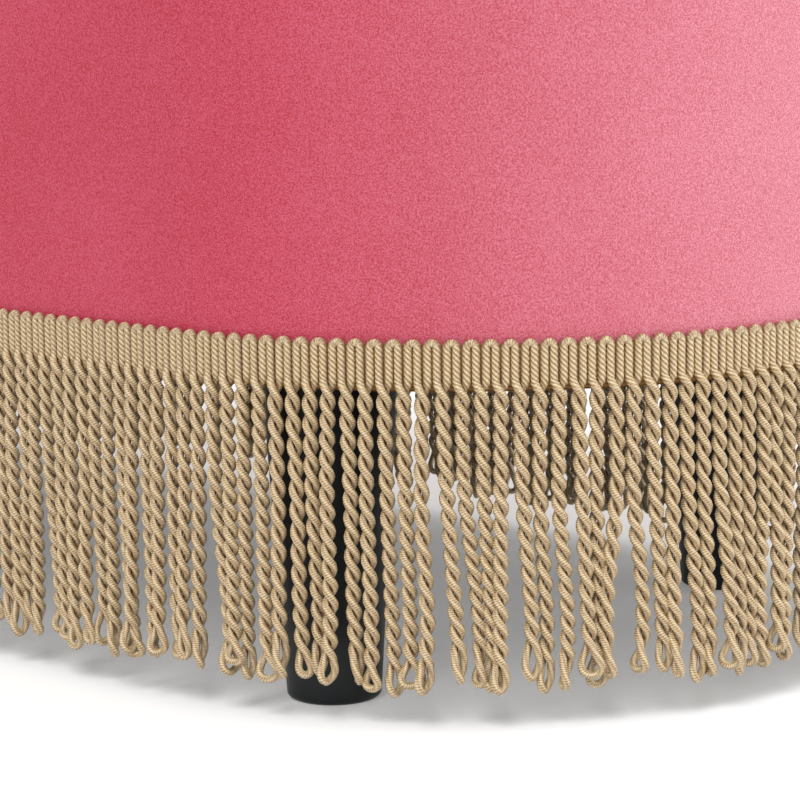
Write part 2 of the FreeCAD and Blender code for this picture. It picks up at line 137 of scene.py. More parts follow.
def tree_named(name, inputs):
    """Starts a tree that grows a piece from a mesh: the tree, and the sockets of its inputs."""
    tree = bpy.data.node_groups.new(name, "GeometryNodeTree")
    for label, kind in {"Geometry": "Geometry", **inputs}.items():
        tree.interface.new_socket(label, in_out="INPUT", socket_type="NodeSocket" + kind)
    tree.interface.new_socket("Geometry", in_out="OUTPUT", socket_type="NodeSocketGeometry")
    return tree, add(tree, "NodeGroupInput").outputs


def tree_ended(tree, given, shape):
    """Ends such a tree: real faces, in the material that it is given."""
    shape = add(tree, "GeometryNodeRealizeInstances", shape)
    shape = add(tree, "GeometryNodeSetMaterial", {
        "Geometry": shape, "Material": given["Material"]})
    add(tree, "NodeGroupOutput", shape)
    return tree


# Materials

# bands of a wave pattern lie about this share of its scale apart
BAND_SHARE = 0.3


def pink_velvet():
    """Short-pile polyester velvet: deep pink, with a pale bloom where the pile catches light, and
    painted sheen that makes the round ends paler.
    """
    material, tree, place = finish_named("pink_velvet", {
        "Roughness": 0.55, "Specular IOR Level": 0.5, "Sheen Weight": 0.2,
        "Sheen Roughness": 0.3, "Sheen Tint": linear("#FFE6EA"),
    })
    # tufts stand about 0.2 mm apart, too fine to show, so they are drawn 0.65 mm apart
    tuft = 0.65 * MM
    stroke = 70 * MM
    pile = add(tree, NOISE, {"Vector": place, "Scale": 1 / tuft, "Detail": 1.0, "Roughness": 0.6})
    brushed = add(tree, NOISE, {"Vector": place, "Scale": 1 / stroke, "Detail": 3.0})
    lie = add(tree, MATH, brushed, 0.12, 0.44, operation="MULTIPLY_ADD")
    tone = add(tree, MATH, pile, lie, operation="MULTIPLY")
    spread = add(tree, RANGE, tone, 0.18, 0.32, 0.0, 1.0)
    colour = add(tree, MIX, {"Factor": spread, "A": linear("#AA142C"), "B": linear("#C74B66")},
                 data_type="RGBA")
    # painted sheen: the round ends are painted a paler pink, as light blooming on the pile would
    # show there
    painted_sheen = add(tree, ATTRIBUTE, attribute_name="painted_sheen").outputs["Fac"]
    pale = add(tree, MIX, {"Factor": spread, "A": linear("#BE5363"), "B": linear("#DB8A9B")},
               data_type="RGBA")
    colour = add(tree, MIX, {"Factor": painted_sheen, "A": colour, "B": pale}, data_type="RGBA")
    bump = add(tree, BUMP, {"Strength": 0.4, "Distance": 0.35 * MM, "Height": pile})
    return dress(material, colour, None, bump)


def gold_cord():
    """Rayon gimp cord: silky plies along each strand, bound across by weft in the header."""
    material, tree, place = finish_named("gold_rayon_cord", {
        "Roughness": 0.3, "Specular IOR Level": 0.75, "Sheen Weight": 0.1,
        "Sheen Roughness": 0.4, "Sheen Tint": linear("#FFF0D2"),
    })
    run = add(tree, ATTRIBUTE, attribute_name="run").outputs["Fac"]
    ring = add(tree, ATTRIBUTE, attribute_name="ring").outputs["Vector"]
    bound = add(tree, ATTRIBUTE, attribute_name="bound").outputs["Fac"]
    opening = add(tree, ATTRIBUTE, attribute_name="opening").outputs["Fac"]
    across = add(tree, "ShaderNodeSeparateXYZ", ring)
    around = add(tree, MATH, across.outputs["Y"], across.outputs["X"], operation="ARCTAN2")
    # plies round a strand, wrapped across by a thread of about 0.3 mm. That is too fine to show,
    # so it is drawn as one every 0.95 mm
    plies = 4.0
    ply_turn = 40 * MM
    wrap_pitch = 0.95 * MM
    slow = add(tree, MATH, run, 2 * math.pi * plies / ply_turn, operation="MULTIPLY")
    ply = add(tree, MATH, around, plies, slow, operation="MULTIPLY_ADD")
    ply = add(tree, MATH, ply, operation="SINE")
    fine = add(tree, MATH, run, 2 * math.pi / wrap_pitch, around, operation="MULTIPLY_ADD")
    wrap = add(tree, MATH, add(tree, MATH, fine, operation="SINE"), 0.45, operation="MULTIPLY")
    silk = add(tree, MATH, ply, 0.3, wrap, operation="MULTIPLY_ADD")
    # weft threads in the header, slanted across each rib
    weft_pitch = 2.3 * MM
    weft_slant = 4.0
    quick = add(tree, MATH, run, 2 * math.pi / weft_pitch, operation="MULTIPLY")
    weft = add(tree, MATH, around, weft_slant, quick, operation="MULTIPLY_ADD")
    weft = add(tree, MATH, add(tree, MATH, weft, operation="SINE"), 0.6, operation="MULTIPLY")
    relief = add(tree, MIX, {"Factor": bound, "A": silk, "B": weft}, data_type="FLOAT")
    # single fibres are far finer than this; they show as flecks
    fleck = 0.9 * MM
    fibre = add(tree, NOISE, {"Vector": place, "Scale": 1 / fleck, "Detail": 2.0})
    relief_and_flecks = add(tree, MATH, fibre, 0.8, relief, operation="MULTIPLY_ADD")
    # painted shade and highlight: colour follows the relief, darker in the grooves between plies
    # and weft threads and lighter on their ridges; the fibre flecks are random tone
    painted_shade_and_highlight = add(tree, RANGE, relief_and_flecks, -0.3, 1.1, 0.0, 1.0)
    colour = add(tree, MIX, {"Factor": painted_shade_and_highlight, "A": linear("#8C6732"), "B": linear("#E6D2AB")},
                 data_type="RGBA")
    # painted shade darkens the crease between two strands, and less so in the header
    painted_crease_shade = add(tree, RANGE, opening, 0.05, 0.6, 1.0, 0.0)
    less = add(tree, MATH, bound, -0.5, 1.0, operation="MULTIPLY_ADD")
    painted_crease_shade = add(tree, MATH, painted_crease_shade, less, operation="MULTIPLY")
    colour = add(tree, MIX, {"Factor": painted_crease_shade, "A": colour, "B": linear("#6E4213")},
                 data_type="RGBA")
    bump = add(tree, BUMP, {"Strength": 0.8, "Distance": 0.25 * MM, "Height": relief_and_flecks})
    return dress(material, colour, None, bump)


def gold_tape():
    """Plain-woven rayon tape behind the header's ribs: dark gold lines of thread."""
    material, tree, place = finish_named("gold_rayon_tape", {
        "Roughness": 0.6, "Specular IOR Level": 0.3})
    # threads of about 0.4 mm, too fine to show, are drawn 1.5 mm apart
    thread = 1.5 * MM
    weave = add(tree, WAVE, {"Vector": place, "Scale": BAND_SHARE / thread, "Distortion": 1.0},
                bands_direction="Z").outputs["Fac"]
    colour = add(tree, MIX, {"Factor": weave, "A": linear("#6E4A20"), "B": linear("#94703E")},
                 data_type="RGBA")
    bump = add(tree, BUMP, {"Strength": 0.5, "Distance": 0.2 * MM, "Height": weave})
    return dress(material, colour, None, bump)


def black_lacquer():
    """Turned beech in satin black lacquer: near black, a little blue, with a soft broad gloss."""
    material, tree, place = finish_named("black_lacquered_beech", {
        "Specular IOR Level": 0.3, "IOR": 1.5})
    pore = 2.5 * MM
    drawn_out = add(tree, "ShaderNodeMapping", {"Vector": place, "Scale": (1, 1, 0.08)})
    grain = add(tree, NOISE, {"Vector": drawn_out, "Scale": 1 / pore, "Detail": 4.0})
    colour = add(tree, MIX, {"Factor": grain, "A": linear("#0D1012"), "B": linear("#181C1F")},
                 data_type="RGBA")
    rough = add(tree, RANGE, grain, 0.3, 0.7, 0.34, 0.5)
    bump = add(tree, BUMP, {"Strength": 0.12, "Distance": 0.1 * MM, "Height": grain})
    return dress(material, colour, rough, bump)


def sawn_wood(name, dark, light, ring_width, along):
    """Plain sawn wood: bands of early and late growth drawn out along the grain."""
    material, tree, place = finish_named(name, {"Specular IOR Level": 0.3})
    fibre_width = 0.9 * MM
    stretch = add(tree, "ShaderNodeMapping", {"Vector": place, "Scale": along})
    bands = add(tree, WAVE, {"Vector": stretch, "Scale": BAND_SHARE / ring_width,
                             "Distortion": 6.0, "Detail": 3.0, "Detail Scale": 1.5})
    fibre = add(tree, NOISE, {"Vector": stretch, "Scale": 1 / fibre_width, "Detail": 3.0})
    figure = add(tree, MATH, fibre, 0.4, operation="MULTIPLY")
    figure = add(tree, MATH, bands.outputs["Fac"], 0.6, figure, operation="MULTIPLY_ADD")
    colour = add(tree, MIX, {"Factor": figure, "A": linear(dark), "B": linear(light)},
                 data_type="RGBA")
    rough = add(tree, RANGE, figure, 0.0, 1.0, 0.75, 0.58)
    bump = add(tree, BUMP, {"Strength": 0.25, "Distance": 0.15 * MM, "Height": fibre})
    return dress(material, colour, rough, bump)


def hardboard():
    """Pressed wood fibre board: smooth, mid brown, flecked with fibres."""
    material, tree, place = finish_named("pressed_hardboard", {"Specular IOR Level": 0.35})
    chip = 2 * MM
    fleck = add(tree, NOISE, {"Vector": place, "Scale": 1 / chip, "Detail": 5.0, "Roughness": 0.7})
    colour = add(tree, MIX, {"Factor": fleck, "A": linear("#4C3320"), "B": linear("#8A6444")},
                 data_type="RGBA")
    rough = add(tree, RANGE, fleck, 0.3, 0.7, 0.45, 0.65)
    bump = add(tree, BUMP, {"Strength": 0.15, "Distance": 0.1 * MM, "Height": fleck})
    return dress(material, colour, rough, bump)


def spunbond(name, dark, light):
    """Spunbond polypropylene: thin black cloth with small pressed dots and stray fibres."""
    material, tree, place = finish_named(name, {
        "Specular IOR Level": 0.3, "Sheen Weight": 0.12})
    # the fibres are finer than a hair, and are drawn in clumps that show
    dot_pitch = 2.2 * MM
    clump = 1.2 * MM
    dots = add(tree, "ShaderNodeTexVoronoi", {
        "Vector": place, "Scale": 1 / dot_pitch, "Randomness": 0.25})
    fibre = add(tree, NOISE, {"Vector": place, "Scale": 1 / clump, "Detail": 5.0,
                              "Roughness": 0.75})
    relief = add(tree, MATH, dots.outputs["Distance"], fibre, operation="MULTIPLY")
    shade = add(tree, RANGE, relief, 0.0, 0.45, 0.0, 1.0)
    colour = add(tree, MIX, {"Factor": shade, "A": linear(dark), "B": linear(light)},
                 data_type="RGBA")
    rough = add(tree, RANGE, relief, 0.0, 0.4, 0.6, 0.9)
    bump = add(tree, BUMP, {"Strength": 0.4, "Distance": 0.2 * MM, "Height": relief})
    return dress(material, colour, rough, bump)


def plated_steel(name, dark, light, roughness):
    """Zinc-plated steel: bright metal with the cloudy tone that a plating bath leaves."""
    material, tree, place = finish_named(name, {"Metallic": 1.0})
    bloom = 4 * MM
    cloud = add(tree, NOISE, {"Vector": place, "Scale": 1 / bloom, "Detail": 4.0})
    colour = add(tree, MIX, {"Factor": cloud, "A": linear(dark), "B": linear(light)},
                 data_type="RGBA")
    rough = add(tree, RANGE, cloud, 0.3, 0.7, roughness - 0.07, roughness + 0.07)
    return dress(material, colour, rough)


def moulded_black(name, dark, light, roughness, grit):
    """Matt black coat or moulding: fine even grit that breaks up a dull shine."""
    material, tree, place = finish_named(name, {"Specular IOR Level": 0.4})
    grain = add(tree, NOISE, {"Vector": place, "Scale": 1 / grit, "Detail": 3.0})
    colour = add(tree, MIX, {"Factor": grain, "A": linear(dark), "B": linear(light)},
                 data_type="RGBA")
    rough = add(tree, RANGE, grain, 0.3, 0.7, roughness - 0.08, roughness + 0.08)
    bump = add(tree, BUMP, {"Strength": 0.2, "Distance": 0.08 * MM, "Height": grain})
    return dress(material, colour, rough, bump)


velvet = pink_velvet()
cord_gold = gold_cord()
tape_gold = gold_tape()
lining_black = spunbond("black_lining_spunbond", "#0F0F11", "#2E2E32")
dust_black = spunbond("black_dust_spunbond", "#0B0B0C", "#242427")
staple_zinc = plated_steel("galvanised_staple_wire", "#8F9296", "#C4C6C8", 0.35)

leg_black = black_lacquer()
plywood = sawn_wood("poplar_plywood", "#A97F4F", "#D9B988", 9 * MM, (0.06, 1, 1))
pine = sawn_wood("sawn_pine", "#B98A52", "#E3C38E", 6 * MM, (1, 1, 0.05))
board_brown = hardboard()
# the grit of both is about 0.2 mm, and is drawn coarser so that it shows
hinge_black = moulded_black("black_coated_steel", "#121214", "#26262A", 0.45, 0.6 * MM)
rubber = moulded_black("moulded_rubber", "#0E0E0E", "#1E1E1F", 0.75, 0.9 * MM)
screw_zinc = plated_steel("yellow_zinc_screw", "#9C8040", "#D8BE74", 0.32)
fitting_zinc = plated_steel("bright_zinc_fitting", "#9A9DA0", "#CDD0D2", 0.28)

# finish of each solid, by the first of these that its name starts with
NODE_FINISHES = {
    "leg_studs": fitting_zinc, "leg_tee_nuts": fitting_zinc, "leg_": leg_black,
    "bottom_board": plywood, "lid_board": plywood, "top_rail": plywood, "post_": pine,
    "skin_": board_brown, "frame_screws": screw_zinc, "hinge_": hinge_black,
    "lid_bumpers": rubber, "lining_": lining_black, "floor_panel": lining_black,
    "lid_lining": lining_black, "dust_cover": dust_black, "lid_": velvet, "side_": velvet,
    "fringe_": cord_gold,
}
for name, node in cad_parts.items():
    finish = next(m for start, m in NODE_FINISHES.items() if name.startswith(start))
    node.data.materials.clear()
    node.data.materials.append(finish)


# Racetrack sweeps, and what every piece needs


def in_scene(name, data):
    """New object in the scene."""
    obj = bpy.data.objects.new(name, data)
    bpy.context.scene.collection.objects.link(obj)
    return obj


def stations(straight_steps, end_steps):
    """Places round the racetrack, from the front left: centre x and outward direction of each."""
    found = []
    for sign in (1, -1):
        for step in range(straight_steps):
            x = HALF_STRAIGHT * (2 * step / straight_steps - 1)
            found.append((sign * x, 0.0, -sign * 1.0))
        for step in range(end_steps):
            turn = math.pi * (step / end_steps - 0.5)
            found.append((sign * HALF_STRAIGHT, sign * math.cos(turn), sign * math.sin(turn)))
    return found


def path_points(radius, height, straight_steps=30, end_steps=36):
    """Level racetrack of points."""
    return [(x + out_x * radius, out_y * radius, height)
            for x, out_x, out_y in stations(straight_steps, end_steps)]


def racetrack_girth(radius):
    """Length of a racetrack."""
    return 2 * (2 * HALF_STRAIGHT + math.pi * radius)


def sweep(name, profile, straight_steps=60, end_steps=72, closed=False, wobble=None):
    """Mesh of a profile of (radius, height) swept round the racetrack. It closes at radius 0."""
    around = stations(straight_steps, end_steps)
    points = []
    for radius, height in profile:
        for x, out_x, out_y in around:
            shift = wobble(x, out_x, out_y, height) if wobble else 0.0
            points.append((x + out_x * (radius + shift), out_y * (radius + shift), height))
    count = len(around)
    rows = len(profile)
    faces = []
    for row in range(rows if closed else rows - 1):
        above = (row + 1) % rows
        for i in range(count):
            j = (i + 1) % count
            faces.append((row * count + i, row * count + j, above * count + j, above * count + i))
    mesh = bpy.data.meshes.new(name)
    mesh.from_pydata(points, [], faces)
    welded = bmesh.new()
    welded.from_mesh(mesh)
    bmesh.ops.remove_doubles(welded, verts=welded.verts, dist=0.02 * MM)
    bmesh.ops.dissolve_degenerate(welded, edges=welded.edges, dist=0.01 * MM)
    bmesh.ops.recalc_face_normals(welded, faces=welded.faces)
    welded.to_mesh(mesh)
    welded.free()
    return in_scene(name, mesh)


def arc(centre, radius, start, end, steps):
    """Points of an arc in a profile; angles in degrees, 0 outwards and 90 up."""
    turns = [math.radians(start + (end - start) * i / steps) for i in range(steps + 1)]
    return [(centre[0] + radius * math.cos(t), centre[1] + radius * math.sin(t)) for t in turns]


def smooth(obj, material):
    """Gives a piece its one material and smooth shading."""
    obj.data.materials.clear()
    obj.data.materials.append(material)
    obj.data.shade_smooth()
    return obj


def applied(obj):
    """Turns what an object's modifiers make into its plain mesh."""
    evaluated = obj.evaluated_get(bpy.context.evaluated_depsgraph_get())
    mesh = bpy.data.meshes.new_from_object(evaluated)
    obj.modifiers.clear()
    obj.data = mesh
    return obj


def grown(name, seed, tree, values):
    """Runs a tree on a seed mesh and gives the result as a plain mesh object."""
    obj = in_scene(name, seed)
    modifier = obj.modifiers.new(tree.name, "NODES")
    modifier.node_group = tree
    for item in tree.interface.items_tree:
        if item.in_out == "INPUT" and item.name in values:
            modifier[item.identifier] = values[item.name]
    applied(obj)
    obj.data.shade_smooth()
    return obj


def settle(piece, body, slot, *replaced):
    """Says what body a piece moves with and hides the solids that it stands for. Its finish slot is
    not used.
    """
    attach(piece, body)
    if replaced:
        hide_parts(*replaced)


# Side cover: velvet pulled round the box, rolled over the rim and turned under at the foot

SEAM_DEPTH = 0.9 * MM
SEAM_REACH = 4 * MM
SEAM_INSET = 20 * MM
COVER_THICKNESS = 1.2 * MM
FOOT_ROLL = 1.5 * MM
WALL_ROWS = 14
RIM_FLAT = 14 * MM
RIM_TURN = 1 * MM


def side_seams(x, out_x, out_y, height):
    """Draws the velvet in along the two upright seams at the back."""
    if out_y < 0.5 or out_x:
        return 0.0
    near = abs(abs(x) - HALF_STRAIGHT + SEAM_INSET)
    return -SEAM_DEPTH * max(0.0, 1 - near / SEAM_REACH) ** 2


wall_foot = VELVET_BOTTOM + FOOT_ROLL
wall_rise = RIM_TOP - EDGE_ROLL - VELVET_BOTTOM - FOOT_ROLL
outside = [(RETURN_RADIUS, VELVET_BOTTOM), (VELVET_RADIUS - FOOT_ROLL, VELVET_BOTTOM)]
outside += arc((VELVET_RADIUS - FOOT_ROLL, wall_foot), FOOT_ROLL, -67.5, -22.5, 2)
outside += [(VELVET_RADIUS, wall_foot + wall_rise * i / WALL_ROWS) for i in range(WALL_ROWS + 1)]
outside += arc((VELVET_RADIUS - EDGE_ROLL, RIM_TOP - EDGE_ROLL), EDGE_ROLL, 9, 90, 9)
outside += [(RIM_INNER_RADIUS + RIM_FLAT, RIM_TOP), (RIM_INNER_RADIUS + RIM_TURN, RIM_TOP)]
outside += [(RIM_INNER_RADIUS, RIM_TOP - RIM_TURN)]
side_cover = sweep("side_velvet", outside, 150, 72, wobble=side_seams)
thick = side_cover.modifiers.new("cloth", "SOLIDIFY")
thick.thickness = COVER_THICKNESS
thick.offset = -1
applied(side_cover)
smooth(side_cover, velvet)
# painted sheen: none along the sides, full in the middle of each round end
end_reach = [max(0.0, abs(v.co.x) - HALF_STRAIGHT) / VELVET_RADIUS
             for v in side_cover.data.vertices]
end_reach = np.minimum(end_reach, 1).astype(np.float32) ** 2
side_cover.data.attributes.new("painted_sheen", "FLOAT", "POINT").data.foreach_set("value", end_reach)

# Fringe: one strand runs down each cord, round its loop, up again and over to the next cord

HEADER_PATH_RADIUS = 202.2 * MM
CORD_DROP = 130 * MM
STRAND_RADIUS = 1.76 * MM
RIB_RADIUS = 1.95 * MM
STRAND_STEPS = 176
STRAND_SIDES = 7
LAY = 16.8 * MM
# shape of a strand
EASE = 0.09  # share of it that is slowed at the loop's foot and at the arch's top
ARCH_POWER = 2.7  # roundness of an arch
ARCH_LAP = 0.035  # how far it laps over the next
TWIST_LEAD = 3.5 * MM  # start of the twist inside the header
FREE_RUN = 5.5 * MM  # length in which a rib comes free
LOOP_TWIST = 0.3  # share of the twist that is left in the loop
CORE_SHARE = 1.08  # distance from the cord's middle, in strand radii
WAIST_POWER = 1.5  # how fast a loop draws in
LEAN_POWER = 1.35  # how late a lean sets in
SHUT_POWER = 3.0  # how soon a loop's strands part
# hang of the cords; pairs are a mean and a spread
GROUP_SIZES = [1, 2, 2, 3, 3, 4, 5]
GROUP_PULL = 0.28  # most that an end is drawn to its group's middle
GROUP_DRIFT = (3.0 * MM, 1.8 * MM)
CORD_STRAY = 2.4 * MM
CORD_OUT = (0.5 * MM, 2.2 * MM)
OUT_LIMITS = (-3.0 * MM, 5.0 * MM)
END_ROOM = 6.2 * MM
PUSH_ROUNDS = 80
PUSH_SHARE = 0.25
# what differs from cord to cord; a loop's width is a square, so that most loops are narrow
DROP_SPREAD = 2.6 * MM
DROP_LIMIT = 5 * MM
LAY_SHARES = (0.88, 1.12)
LOOP_WIDTH_ROOTS = (2.3, 3.6)
LOOP_LENGTHS_MM = (9, 16)
SWAY_SPREAD = 1.8 * MM
CORD_ATTRIBUTES = {
    "outward": "FLOAT_VECTOR", "lean": "FLOAT_VECTOR", "sway": "FLOAT_VECTOR", "drop": "FLOAT",
    "lay": "FLOAT", "loop_width": "FLOAT", "loop_length": "FLOAT",
}
cord_total = sum(CORD_COUNTS.values())
cord_pitch = racetrack_girth(CORD_PATH_RADIUS) / cord_total


def cord_place(distance):
    """Centre x and outward direction of a place along the cords' path, from the front left."""
    straight = 2 * HALF_STRAIGHT
    lap, along = divmod(distance, straight + math.pi * CORD_PATH_RADIUS)
    sign = 1 if lap < 1 else -1
    if along < straight:
        return sign * (along - HALF_STRAIGHT), 0.0, -sign * 1.0
    turn = (along - straight) / CORD_PATH_RADIUS - math.pi / 2
    return sign * HALF_STRAIGHT, sign * math.cos(turn), sign * math.sin(turn)


def hang():
    """How far each cord's end hangs aside and outwards: in small bunches, clear of others."""
    aside = np.zeros(cord_total)
    out = np.zeros(cord_total)
    first = 0
    while first < cord_total:
        members = np.arange(first, min(first + random.choice(GROUP_SIZES), cord_total))
        places = members * cord_pitch
        pull = random.uniform(0.0, GROUP_PULL)
        aside[members] = (places.mean() - places) * pull + random.normal(*GROUP_DRIFT)
        aside[members] += random.normal(0, CORD_STRAY, len(members))
        out[members] = random.normal(*CORD_OUT, len(members))
        first = members[-1] + 1
    for _ in range(PUSH_ROUNDS):
        for gap in (1, 2):
            dx = np.roll(aside, -gap) - aside + gap * cord_pitch
            dy = np.roll(out, -gap) - out
            apart = np.hypot(dx, dy)
            push = np.maximum(0, END_ROOM - apart) / np.maximum(apart, 1e-6) * PUSH_SHARE
            aside += np.roll(dx * push, gap) - dx * push
            out += np.roll(dy * push, gap) - dy * push
    return aside, np.clip(out, *OUT_LIMITS)


def fringe_tree():
    """Grows a twisted cord at each vertex: ribs and arch in the header, the twist, the end loop."""
    tree, given = tree_named("twisted_fringe", {
        "Cord pitch": "Float", "Header top": "Float", "Header bottom": "Float",
        "Strand radius": "Float", "Rib radius": "Float", "Steps": "Int", "Sides": "Int",
        "Material": "Material",
    })
    named = {name: add(tree, NAMED, {"Name": name}, data_type=kind)
             for name, kind in CORD_ATTRIBUTES.items()}
    placed = add(tree, STORE, given["Geometry"],
                 {"Name": "place", "Value": add(tree, "GeometryNodeInputPosition")},
                 data_type="FLOAT_VECTOR", domain="POINT")
    line = add(tree, "GeometryNodeCurvePrimitiveLine", {"End": (0, 0, 1)})
    line = add(tree, "GeometryNodeResampleCurve", {"Curve": line, "Count": given["Steps"]})
    strands = add(tree, "GeometryNodeInstanceOnPoints", {"Points": placed, "Instance": line})
    strands = add(tree, "GeometryNodeRealizeInstances", strands)
    place = add(tree, NAMED, {"Name": "place"}, data_type="FLOAT_VECTOR")

    # way: 0 at the loop's foot, 1 at the top of either arch, slowed at both so that they are round
    spline = add(tree, "GeometryNodeSplineParameter")
    across = add(tree, MATH, spline.outputs["Factor"], 2.0, -1.0, operation="MULTIPLY_ADD")
    half = add(tree, MATH, across, operation="ABSOLUTE")
    side = add(tree, MATH, across, operation="SIGN")
    low = add(tree, MATH, EASE, half, operation="SUBTRACT")
    low = add(tree, MATH, low, 0.0, operation="MAXIMUM")
    low = add(tree, MATH, low, 2.0, operation="POWER")
    high = add(tree, MATH, half, 1 - EASE, operation="SUBTRACT")
    high = add(tree, MATH, high, 0.0, operation="MAXIMUM")
    high = add(tree, MATH, high, 2.0, operation="POWER")
    bend = add(tree, MATH, low, high, operation="SUBTRACT")
    bend = add(tree, MATH, bend, 1 / (2 * EASE), half, operation="MULTIPLY_ADD")
    way = add(tree, RANGE, bend, EASE / 2, 1 - EASE / 2, 0.0, 1.0)

    # height of each point, from the loop's foot to the arch's top
    foot = add(tree, MATH, given["Header bottom"], named["drop"], operation="SUBTRACT")
    foot = add(tree, MATH, foot, given["Strand radius"], operation="ADD")
    top = add(tree, MATH, given["Header top"], given["Rib radius"], operation="SUBTRACT")
    rise = add(tree, MATH, top, foot, operation="SUBTRACT")
    height = add(tree, MATH, rise, way, foot, operation="MULTIPLY_ADD")

    # reach of a rib from the cord's middle, bent over to the next cord in the arch
    quarter = add(tree, MATH, given["Cord pitch"], 0.25, operation="MULTIPLY")
    spring = add(tree, MATH, top, quarter, operation="SUBTRACT")
    arched = add(tree, RANGE, height, spring, top, 0.0, 1.0)
    chord = add(tree, MATH, arched, ARCH_POWER, operation="POWER")
    chord = add(tree, MATH, 1.0, chord, operation="SUBTRACT")
    chord = add(tree, MATH, chord, 1 / ARCH_POWER, operation="POWER")
    reach = add(tree, MATH, 2.0, chord, operation="SUBTRACT")
    reach = add(tree, MATH, reach, quarter, operation="MULTIPLY")
    lap = add(tree, MATH, arched, ARCH_LAP, 1.0, operation="MULTIPLY_ADD")
    reach = add(tree, MATH, reach, lap, operation="MULTIPLY")

    # twist below the header, slower in the loop
    twist_top = add(tree, MATH, given["Header bottom"], TWIST_LEAD, operation="ADD")
    depth = add(tree, MATH, twist_top, height, operation="SUBTRACT")
    depth = add(tree, MATH, depth, 0.0, operation="MAXIMUM")
    span = add(tree, MATH, twist_top, foot, operation="SUBTRACT")
    loop_start = add(tree, MATH, span, named["loop_length"], operation="SUBTRACT")
    twisted = add(tree, MATH, depth, loop_start, operation="MINIMUM")
    loose = add(tree, MATH, depth, loop_start, operation="SUBTRACT")
    loose = add(tree, MATH, loose, 0.0, operation="MAXIMUM")
    wound = add(tree, MATH, loose, LOOP_TWIST, twisted, operation="MULTIPLY_ADD")
    turns = add(tree, MATH, wound, named["lay"], operation="DIVIDE")
    angle = add(tree, MATH, turns, 2 * math.pi, operation="MULTIPLY")

    # distance of a strand from the cord's middle: rib, then twist, then loop
    free = add(tree, RANGE, depth, 0.0, FREE_RUN, 0.0, 1.0, interpolation_type="SMOOTHSTEP")
    from_foot = add(tree, MATH, height, foot, operation="SUBTRACT")
    from_foot = add(tree, MATH, from_foot, named["loop_length"], operation="DIVIDE")
    opened = add(tree, MATH, from_foot, 1.0, operation="MINIMUM")
    opened = add(tree, MATH, opened, 0.0, operation="MAXIMUM")
    waist = add(tree, MATH, 1.0, opened, operation="SUBTRACT")
    waist = add(tree, MATH, waist, WAIST_POWER, operation="POWER")
    bulge = add(tree, MATH, add(tree, MATH, opened, operation="SQRT"), waist, operation="MULTIPLY")
    bulge = add(tree, MATH, bulge, named["loop_width"], operation="MULTIPLY")
    core = add(tree, MATH, given["Strand radius"], CORE_SHARE, operation="MULTIPLY")
    hung = add(tree, MATH, core, opened, bulge, operation="MULTIPLY_ADD")
    width = add(tree, MIX, {"Factor": free, "A": reach, "B": hung}, data_type="FLOAT")
    width = add(tree, MATH, width, side, operation="MULTIPLY")
    right = add(tree, MATH, width, add(tree, MATH, angle, operation="COSINE"), operation="MULTIPLY")
    back = add(tree, MATH, width, add(tree, MATH, angle, operation="SINE"), operation="MULTIPLY")
    stand = add(tree, MATH, free, CORD_PATH_RADIUS - HEADER_PATH_RADIUS, operation="MULTIPLY")

    # lean and sway grow towards the end of the cord
    share = add(tree, MATH, depth, span, operation="DIVIDE")
    leaning = add(tree, MATH, share, LEAN_POWER, operation="POWER")
    wave = add(tree, MATH, share, 2 * math.pi, operation="MULTIPLY")
    wave = add(tree, MATH, add(tree, MATH, wave, operation="SINE"), share, operation="MULTIPLY")
    middle = place
    for part in (
        add(tree, VECTOR, named["outward"], {"Scale": stand}, operation="SCALE"),
        add(tree, VECTOR, named["lean"], {"Scale": leaning}, operation="SCALE"),
        add(tree, VECTOR, named["sway"], {"Scale": wave}, operation="SCALE"),
        add(tree, "ShaderNodeCombineXYZ", {"Z": height}),
    ):
        middle = add(tree, VECTOR, middle, part, operation="ADD")
    tangent = add(tree, VECTOR, (0, 0, 1), named["outward"], operation="CROSS_PRODUCT")
    sideways = add(tree, VECTOR, tangent, {"Scale": right}, operation="SCALE")
    inwards = add(tree, VECTOR, named["outward"], {"Scale": back}, operation="SCALE")
    spot = add(tree, VECTOR, middle, sideways, operation="ADD")
    spot = add(tree, VECTOR, spot, inwards, operation="SUBTRACT")

    # what the tube and the finish need is kept before the points move, as the factor changes then
    thick = add(tree, MIX, {"Factor": free, "A": given["Rib radius"], "B": given["Strand radius"]},
                data_type="FLOAT")
    in_header = add(tree, MATH, 1.0, free, operation="SUBTRACT")
    plain = add(tree, MATH, 1.0, arched, operation="SUBTRACT")
    in_header = add(tree, MATH, in_header, plain, operation="MULTIPLY")
    for name, value, kind in (("bound", in_header, "FLOAT"), ("thick", thick, "FLOAT"),
                              ("shut", opened, "FLOAT"), ("middle", middle, "FLOAT_VECTOR")):
        strands = add(tree, STORE, strands, {"Name": name, "Value": value},
                      data_type=kind, domain="POINT")
    strands = add(tree, "GeometryNodeSetPosition", {"Geometry": strands, "Position": spot})
    length = add(tree, "GeometryNodeSplineParameter").outputs["Length"]
    strands = add(tree, STORE, strands, {"Name": "run", "Value": length},
                  data_type="FLOAT", domain="POINT")
    thick = add(tree, NAMED, {"Name": "thick"}, data_type="FLOAT")
    ring = add(tree, "GeometryNodeCurvePrimitiveCircle", {
        "Resolution": given["Sides"], "Radius": 1.0})
    ring = add(tree, STORE, ring,
               {"Name": "ring", "Value": add(tree, "GeometryNodeInputPosition")},
               data_type="FLOAT_VECTOR", domain="POINT")
    tube = add(tree, "GeometryNodeCurveToMesh", {
        "Curve": strands, "Profile Curve": ring, "Scale": thick, "Fill Caps": True})
